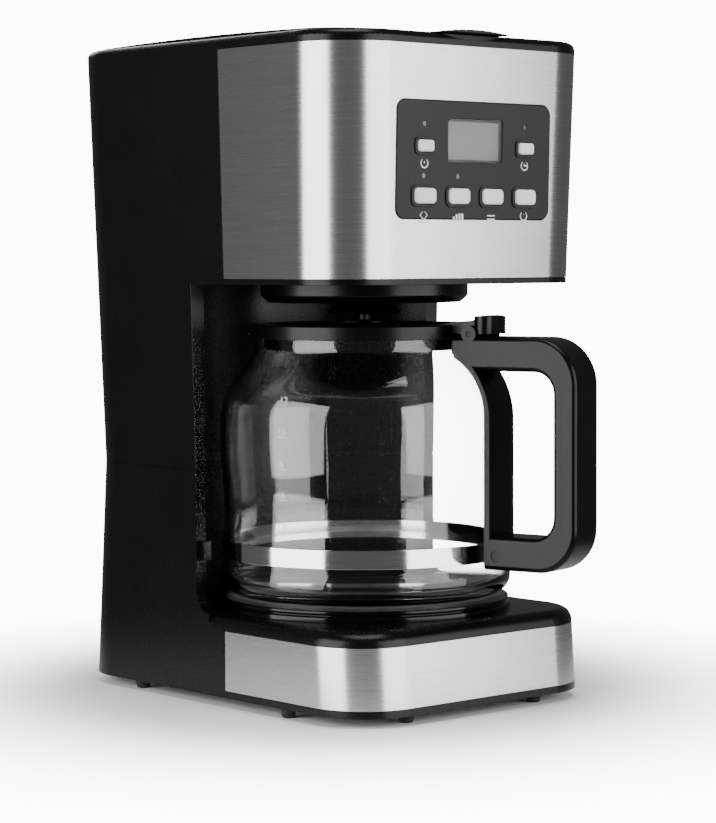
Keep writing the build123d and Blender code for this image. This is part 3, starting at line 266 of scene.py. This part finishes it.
def circuit_board():
    """Glass-fibre laminate under green solder mask, with copper tracks showing through."""
    material, shader = start_material("fibre_board_solder_mask", IOR=1.5, Roughness=0.35)
    place = object_coordinates(material)
    tracks = add_node(material, "ShaderNodeTexBrick", {
        "Vector": place.outputs["Vector"], "Scale": 1 / (6 * MM), "Mortar Size": 0.03,
        "Color1": linear("14502c"), "Color2": linear("175a31"), "Mortar": linear("2f8a52")})
    join(material, tracks.outputs["Color"], shader, "Base Color")
    relief(material, tracks.outputs["Fac"], shader, 0.03)
    return material


satin_black = moulded_plastic("abs_black_satin", "040404", "070707", 0.27, depth_mm=0.0015, specular=0.2)
gloss_black = moulded_plastic("abs_black_gloss", "030303", "050505", 0.1, depth_mm=0.0003, specular=0.2)
handle_black = moulded_plastic("abs_black_handle", "050506", "09090a", 0.24, depth_mm=0.0015, specular=0.16)
panel_black = moulded_plastic("abs_black_panel", "0c0c0d", "111112", 0.4, 0.5, 0.003, specular=0.25)
key_white = moulded_plastic("abs_white_key", "ededec", "f4f4f3", 0.3)
inner_black = moulded_plastic("polypropylene_black", "060606", "0a0a0b", 0.4, specular=0.35)
tank_clear = moulded_plastic("polypropylene_natural", "b9bdbf", "c6cacc", 0.4)
part_black = moulded_plastic("component_epoxy", "08080a", "101012", 0.5, specular=0.3)
steel = brushed_steel()
bright_steel = polished_steel()
glass = borosilicate_glass()
window = clear_window()
display = display_face()
white_ink = printed_ink("ink_white", "eeeeee")
rubber = soft_rubber("rubber_black", "080808", "0d0d0d")
silicone = soft_rubber("silicone_natural", "c9cac6", "d8d9d5", 0.5)
lamp = moulded_plastic("polycarbonate_smoke", "3c3c3e", "4a4a4c", 0.12, depth_mm=0.001)
coated_plate = soft_rubber("ptfe_coated_steel", "070708", "0c0c0d", 0.42)
zinc = plated_metal("steel_zinc_plated", "8f9092", "a9aaac", 0.35)
spring_wire = plated_metal("spring_wire_bright", "a4a4a4", "bdbdbd", 0.25)
cast_heater = plated_metal("aluminium_die_cast", "9a9b9c", "b4b5b6", 0.5, 2.0)
wire_cloth = woven_mesh()
board = circuit_board()

finishes = {
    "housing_black": satin_black, "column_black": gloss_black, "steel": steel, "band_steel": bright_steel,
    "glass": glass, "handle_black": handle_black, "lid_black": satin_black, "panel_black": panel_black,
    "key_white": key_white, "display": display, "lamp": lamp, "rubber": rubber, "inner_plastic": inner_black,
    "tank_plastic": tank_clear, "mesh": wire_cloth, "spring_steel": spring_wire, "heater": cast_heater,
    "plate": coated_plate, "silicone": silicone, "board": board, "part": part_black, "screw": zinc,
}


def finish_with(piece, material):
    piece.data.materials.clear()
    piece.data.materials.append(material)


for node_name, node in nodes.items():
    finish_with(node, finishes[slot_of_node[node_name]])
finish_with(nodes["display_window"], window)
for blackened in ("band_screw", "handle_screws", "carafe_lid_pin"):
    finish_with(nodes[blackened], part_black)


# ---- modelling helpers ---------------------------------------------------------------
def select_only(piece):
    bpy.ops.object.select_all(action="DESELECT")
    piece.select_set(True)
    bpy.context.view_layer.objects.active = piece


def apply_modifier(piece, kind, **settings):
    select_only(piece)
    modifier = piece.modifiers.new(kind.lower(), kind)
    for name, value in settings.items():
        setattr(modifier, name, value)
    bpy.ops.object.modifier_apply(modifier=modifier.name)


def settle(piece):
    """Put the piece's place into its mesh."""
    select_only(piece)
    bpy.ops.object.transform_apply(location=True, rotation=True, scale=True)


def smooth(piece, degrees=35):
    select_only(piece)
    bpy.ops.object.shade_smooth_by_angle(angle=radians(degrees))


def mount(piece, node, *more, material=None):
    """The piece stands for one CAD node or several: their body, their material slot and their finish."""
    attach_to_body(piece, body_of_node[node])
    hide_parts(node, *more)
    finish_with(piece, material or finishes[slot_of_node[node]])


def attach(piece, body, material):
    """The piece is extra detail on a body."""
    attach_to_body(piece, body)
    finish_with(piece, material)


def softened(node, edge_mm, segments=2, degrees=30, material=None):
    """A copy of a CAD node with its corners merged and its sharp edges rounded as a mould leaves them."""
    piece = nodes[node].copy()
    piece.data = nodes[node].data.copy()
    piece.name = node + "_moulded"
    bpy.context.scene.collection.objects.link(piece)
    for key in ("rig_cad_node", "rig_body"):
        del piece[key]
    piece.parent = None
    select_only(piece)
    if piece.data.has_custom_normals:
        bpy.ops.mesh.customdata_custom_splitnormals_clear()
    bpy.ops.object.mode_set(mode="EDIT")
    bpy.ops.mesh.select_all(action="SELECT")
    bpy.ops.mesh.remove_doubles(threshold=0.002 * MM)
    bpy.ops.mesh.dissolve_limited(angle_limit=radians(0.4))
    bpy.ops.object.mode_set(mode="OBJECT")
    apply_modifier(piece, "BEVEL", width=edge_mm * MM, segments=segments, limit_method="ANGLE",
                   angle_limit=radians(degrees), use_clamp_overlap=True)
    smooth(piece, degrees)
    apply_modifier(piece, "WEIGHTED_NORMAL", mode="FACE_AREA", weight=100, keep_sharp=True)
    mount(piece, node, material=material)
    return piece


def new_vertex(name, point):
    """A mesh of one selected vertex, left in edit mode, to be extruded from place to place."""
    bpy.ops.object.select_all(action="DESELECT")
    bpy.ops.mesh.primitive_plane_add(size=MM, location=point)
    piece = bpy.context.object
    piece.name = name
    bpy.ops.object.mode_set(mode="EDIT")
    bpy.ops.mesh.merge(type="CENTER")
    return piece


def drawn(name, points):
    """A chain of edges through these points, extruded vertex by vertex and left in edit mode."""
    piece = new_vertex(name, points[0])
    for start, end in zip(points, points[1:]):
        bpy.ops.mesh.extrude_region_move(TRANSFORM_OT_translate={"value": Vector(end) - Vector(start)})
    return piece


def spun(name, profile_mm, axis_point, steps=96):
    """A turned piece: a closed profile of (radius, height) points spun about a vertical axis."""
    x, y = axis_point
    points = [(x + r * MM, y, z * MM) for r, z in profile_mm]
    piece = drawn(name, points + points[:1])
    bpy.ops.mesh.select_all(action="SELECT")
    bpy.ops.mesh.remove_doubles(threshold=0.001 * MM)
    bpy.ops.mesh.select_all(action="SELECT")
    bpy.ops.mesh.spin(steps=steps, angle=2 * pi, center=(x, y, 0), axis=(0, 0, 1))
    bpy.ops.mesh.select_all(action="SELECT")
    bpy.ops.mesh.remove_doubles(threshold=0.005 * MM)
    bpy.ops.mesh.normals_make_consistent(inside=False)
    bpy.ops.object.mode_set(mode="OBJECT")
    settle(piece)
    return piece


# ---- camera, lights, floor -----------------------------------------------------------
floor_z = cad_low.z
centre = (cad_low + cad_high) / 2

camera_data = bpy.data.cameras.new("camera")
camera = bpy.data.objects.new("camera", camera_data)
bpy.context.scene.collection.objects.link(camera)
bpy.context.scene.camera = camera
camera_data.sensor_width, camera_data.lens = 36.0, 116.0
camera.location = (-0.9161, -1.0616, 0.2285)
heading, dip, roll = radians(41.38), radians(3.34), radians(-0.22)
camera.rotation_euler = (Matrix.Rotation(-heading, 3, "Z") @ Matrix.Rotation(pi / 2 - dip, 3, "X")
                         @ Matrix.Rotation(roll, 3, "Z")).to_euler()


def softbox(name, azimuth, height, distance, size, power, aim=centre):
    """A rectangular softbox at an azimuth from the front towards the right, aimed at the object."""
    data = bpy.data.lights.new(name, "AREA")
    data.shape = "RECTANGLE"
    data.size, data.size_y = size
    data.energy = power
    lamp_object = bpy.data.objects.new(name, data)
    bpy.context.scene.collection.objects.link(lamp_object)
    turn = radians(azimuth)
    lamp_object.location = (aim.x + distance * sin(turn), aim.y - distance * cos(turn), height)
    lamp_object.rotation_euler = (aim - lamp_object.location).to_track_quat("-Z", "Y").to_euler()
    lamp_object.visible_camera = False
    return lamp_object


softbox("softbox_left", -97, 0.5, 2.2, (2.0, 1.9), 80)
softbox("softbox_front", 17, 0.5, 2.3, (2.3, 1.9), 70)
softbox("softbox_top", -20, 2.1, 0.4, (1.3, 1.2), 26)
softbox("softbox_rear", 165, 1.3, 2.2, (1.6, 0.8), 12)

world = bpy.data.worlds.new("studio")
bpy.context.scene.world = world
world.use_nodes = True
sky = world.node_tree.nodes["Background"]
paths = world.node_tree.nodes.new("ShaderNodeLightPath")


def world_math(operation, first, second):
    """A maths node in the world's tree; each input is a socket or a number."""
    made = world.node_tree.nodes.new("ShaderNodeMath")
    made.operation = operation
    for place, value in enumerate((first, second)):
        if isinstance(value, bpy.types.NodeSocket):
            world.node_tree.links.new(value, made.inputs[place])
        else:
            made.inputs[place].default_value = value
    return made.outputs[0]


# The backdrop is white where it is seen, straight or through glass, and dim where it lights or reflects.
bounces = world_math("ADD", paths.outputs["Glossy Depth"], paths.outputs["Diffuse Depth"])
straight = world_math("LESS_THAN", bounces, 0.5)
through = world_math("MULTIPLY", paths.outputs["Is Transmission Ray"], straight)
seen = world_math("MAXIMUM", paths.outputs["Is Camera Ray"], through)
mix = world.node_tree.nodes.new("ShaderNodeMix")
mix.data_type = "RGBA"
mix.inputs["A"].default_value = linear("626262")
mix.inputs["B"].default_value = (12.0, 12.0, 12.0, 1.0)
world.node_tree.links.new(seen, mix.inputs["Factor"])
world.node_tree.links.new(mix.outputs["Result"], sky.inputs["Color"])

bpy.ops.object.select_all(action="DESELECT")
bpy.ops.mesh.primitive_circle_add(vertices=128, radius=1.1, fill_type="NGON", location=(0, 0, floor_z))
floor = bpy.context.object
floor.name = "floor"
settle(floor)
floor_finish, floor_shader = start_material("floor_paper", Roughness=0.9, Base_Color=linear("ffffff"))
floor.data.materials.append(floor_finish)
floor_place = add_node(floor_finish, "ShaderNodeTexCoord")
floor_reach = add_node(
    floor_finish, "ShaderNodeVectorMath", {0: floor_place.outputs["Object"]}, operation="LENGTH")
floor_fade = add_node(floor_finish, "ShaderNodeMapRange", {
    "Value": floor_reach.outputs["Value"], "From Min": 0.12, "From Max": 0.36, "To Min": 1.0, "To Max": 0.0},
    interpolation_type="SMOOTHSTEP")
join(floor_finish, floor_fade.outputs["Result"], floor_shader, "Alpha")

# ---- body ----------------------------------------------------------------------------
for shell in ("lower_housing", "upper_housing", "top_frame", "lid", "basket_holder", "plate_ring"):
    softened(shell, 0.5)
for skin in ("upper_steel_band", "base_steel_band"):
    softened(skin, 0.2)
panel = softened("control_panel", 0.25)
for foot_or_gland in ("feet", "cord_gland", "base_cover"):
    softened(foot_or_gland, 0.4)

# ---- carafe --------------------------------------------------------------------------
plate_low, plate_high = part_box("warming_plate")
axis = ((plate_low.x + plate_high.x) / 2, (plate_low.y + plate_high.y) / 2)
glass_low, glass_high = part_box("carafe_glass")
foot_z, rim_z = glass_low.z / MM, glass_high.z / MM
outer_profile = [
    (56.6, rim_z), (57.4, rim_z - 0.6), (57.0, rim_z - 2.0), (57.0, rim_z - 7.0), (58.2, rim_z - 9.5),
    (62.4, rim_z - 15.0), (67.6, rim_z - 21.5), (72.2, rim_z - 29.0), (75.0, rim_z - 37.0),
    (75.6, rim_z - 46.0), (75.6, rim_z - 60.0), (75.0, rim_z - 70.0), (73.9, rim_z - 79.0),
    (73.5, rim_z - 88.0), (73.7, rim_z - 97.0), (73.9, rim_z - 104.0), (73.9, rim_z - 115.5),
    (75.2, rim_z - 119.5), (76.2, rim_z - 124.0), (75.6, rim_z - 128.5), (73.4, rim_z - 131.6),
    (70.6, foot_z + 0.4), (68.6, foot_z), (66.2, foot_z + 0.2), (64.4, foot_z + 1.0),
    (34.0, foot_z + 1.6), (0.0, foot_z + 1.8),
]
inner_profile = [
    (0.0, foot_z + 4.4), (34.0, foot_z + 4.2), (63.0, foot_z + 3.8), (69.0, foot_z + 4.6),
    (72.4, foot_z + 7.2), (73.8, foot_z + 10.4), (72.6, foot_z + 15.0), (71.4, foot_z + 19.0),
    (71.5, rim_z - 104.0), (71.2, rim_z - 92.0), (71.6, rim_z - 79.0), (72.8, rim_z - 70.0),
    (73.4, rim_z - 60.0), (73.4, rim_z - 46.0), (72.8, rim_z - 37.6), (70.2, rim_z - 30.0),
    (65.8, rim_z - 23.0), (60.8, rim_z - 16.8), (56.4, rim_z - 11.0), (54.8, rim_z - 7.0),
    (54.8, rim_z - 1.4), (55.4, rim_z - 0.2),
]
carafe_glass = spun("carafe_glass_blown", outer_profile + inner_profile, axis, 72)

handle_low, handle_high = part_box("handle_cover")
grip = (handle_low + handle_high) / 2
handle_turn = atan2(grip.x - axis[0], axis[1] - grip.y)
spout_turn = handle_turn + pi
spout_half_angle, spout_reach, spout_root = radians(24), 17.5 * MM, (rim_z - 17) * MM


def pull_spout(piece):
    """Pull the rim out into a pouring lip opposite the handle."""
    for vertex in piece.data.vertices:
        x, y, z = vertex.co.x - axis[0], vertex.co.y - axis[1], vertex.co.z
        turn = (atan2(x, -y) - spout_turn + pi) % (2 * pi) - pi
        if abs(turn) < spout_half_angle and z > spout_root and hypot(x, y) > 50 * MM:
            rise = min(1.0, (z - spout_root) / (glass_high.z - spout_root))
            pull = spout_reach * rise ** 1.6 * cos(turn / spout_half_angle * pi / 2) ** 2
            vertex.co.x += pull * sin(spout_turn)
            vertex.co.y -= pull * cos(spout_turn)


pull_spout(carafe_glass)
apply_modifier(carafe_glass, "SUBSURF", levels=2, render_levels=2)
smooth(carafe_glass, 60)
mount(carafe_glass, "carafe_glass")

softened("carafe_band", 0.2)
softened("carafe_lid", 0.6, 3)
softened("handle_frame", 0.4, 2, 40)
softened("handle_cover", 0.4, 2, 40)


# ---- marks on the glass --------------------------------------------------------------
capital_share = 0.7  # height of a capital as a share of the font's size


def lettering(name, words, height):
    """Flat raised lettering of a given height, as a mesh in the XZ plane at the origin, facing -Y."""
    bpy.ops.object.select_all(action="DESELECT")
    bpy.ops.object.text_add(location=(0, 0, 0), rotation=(pi / 2, 0, 0))
    piece = bpy.context.object
    piece.name = name
    piece.data.body = words
    piece.data.align_x = "CENTER"
    piece.data.size = height / capital_share
    piece.data.extrude = 0.06 * MM
    bpy.ops.object.convert(target="MESH")
    settle(piece)
    return piece


def join_pieces(name, pieces):
    bpy.ops.object.select_all(action="DESELECT")
    for piece in pieces:
        piece.select_set(True)
    bpy.context.view_layer.objects.active = pieces[0]
    if len(pieces) > 1:
        bpy.ops.object.join()
    pieces[0].name = name
    return pieces[0]


def bar(name, width, height, thickness):
    """A thin bar with rounded ends, in the XZ plane at the origin."""
    bpy.ops.object.select_all(action="DESELECT")
    bpy.ops.mesh.primitive_cube_add(size=1, scale=(width, thickness, height))
    piece = bpy.context.object
    piece.name = name
    settle(piece)
    apply_modifier(piece, "BEVEL", width=0.45 * height, segments=2, limit_method="ANGLE")
    return piece


mark_turn = radians(-75)
mark_digits, mark_low, mark_step = ("4", "6", "8", "10", "12"), 91.3, 15.8
digit_height, digit_lift, glass_gap = 3.4 * MM, 1.0 * MM, 0.05 * MM
marks = []
for step, digits in enumerate(mark_digits):
    height = (mark_low + step * mark_step) * MM
    outwards = Vector((sin(mark_turn), -cos(mark_turn), 0))
    start = Vector((axis[0], axis[1], height + 2 * MM)) + outwards * 0.1
    found, point, normal, index = carafe_glass.ray_cast(start, -outwards)
    number = lettering("digits", digits, digit_height)
    number.location.z += digit_lift
    line = bar("underline", 5.3 * MM, 0.45 * MM, 0.12 * MM)
    mark = join_pieces("mark", [line, number])
    mark.rotation_euler.z = mark_turn
    mark.location = (point.x + glass_gap * outwards.x, point.y + glass_gap * outwards.y, height)
    settle(mark)
    marks.append(mark)
cup_marks = join_pieces("cup_marks", marks)
attach(cup_marks, "carafe", white_ink)

# ---- control panel -------------------------------------------------------------------
panel_low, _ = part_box("control_panel")
keys = ("hour_button", "minute_button", "clean_button", "strong_button", "program_button", "power_button")
for key in keys:
    softened(key, 0.3, 2)


line_mm, dial_mm, ink_mm = 0.42, 1.5, 0.1


def ring(name, radius, width, sides=32):
    """A flat ring in the XZ plane at the origin: round, or with corners if it has few sides."""
    bpy.ops.object.select_all(action="DESELECT")
    bpy.ops.mesh.primitive_torus_add(major_segments=sides, minor_segments=6, major_radius=radius,
                                     minor_radius=width / 2, rotation=(pi / 2, 0, 0))
    piece = bpy.context.object
    piece.name = name
    piece.scale.z = 0.5
    settle(piece)
    return piece


def stroke(width, height, x=0.0, z=0.0):
    """A printed stroke of a symbol, in mm from the symbol's middle."""
    piece = bar("stroke", width * MM, height * MM, ink_mm * MM)
    piece.location = (x * MM, 0, z * MM)
    settle(piece)
    return piece


symbols = {
    "hour_button": lambda: [ring("dial", dial_mm * MM, line_mm * MM), stroke(line_mm, 1.3, 0, 0.6)],
    "minute_button": lambda: [ring("dial", dial_mm * MM, line_mm * MM), stroke(line_mm, 1.3, 0, 0.6),
                              stroke(1.2, line_mm, 0.5, 0)],
    "clean_button": lambda: [ring("drop", 1.6 * MM, line_mm * MM, 4), stroke(3.2, line_mm, 0, -2.2)],
    "strong_button": lambda: [stroke(0.8, 1.2 + 0.8 * n, -1.8 + 1.3 * n, -1.0 + 0.4 * n) for n in range(4)],
    "program_button": lambda: [stroke(3.6, line_mm, 0, 1.2 * n) for n in (-1, 0, 1)],
    "power_button": lambda: [ring("dial", dial_mm * MM, line_mm * MM), stroke(line_mm, 1.7, 0, 1.3)],
}
symbol_drop = 4.5 * MM  # from a key's lower edge to the middle of its symbol
symbol_scale = 1.5
printed = []
for key, strokes in symbols.items():
    key_low, key_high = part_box(key)
    middle = Vector(((key_low.x + key_high.x) / 2, panel_low.y - 0.02, (key_low.z + key_high.z) / 2))
    drop = (key_high.z - key_low.z) / 2 + symbol_drop
    start = middle - Vector((0, 0, drop))
    found, point, normal, index = panel.ray_cast(start, Vector((0, 1, 0)))
    symbol = join_pieces("symbol", strokes())
    symbol.location = point
    symbol.rotation_euler.x = atan2(normal.z, -normal.y)
    symbol.scale = (symbol_scale, 1, symbol_scale)
    settle(symbol)
    printed.append(symbol)
attach(join_pieces("key_symbols", printed), "housing", white_ink)
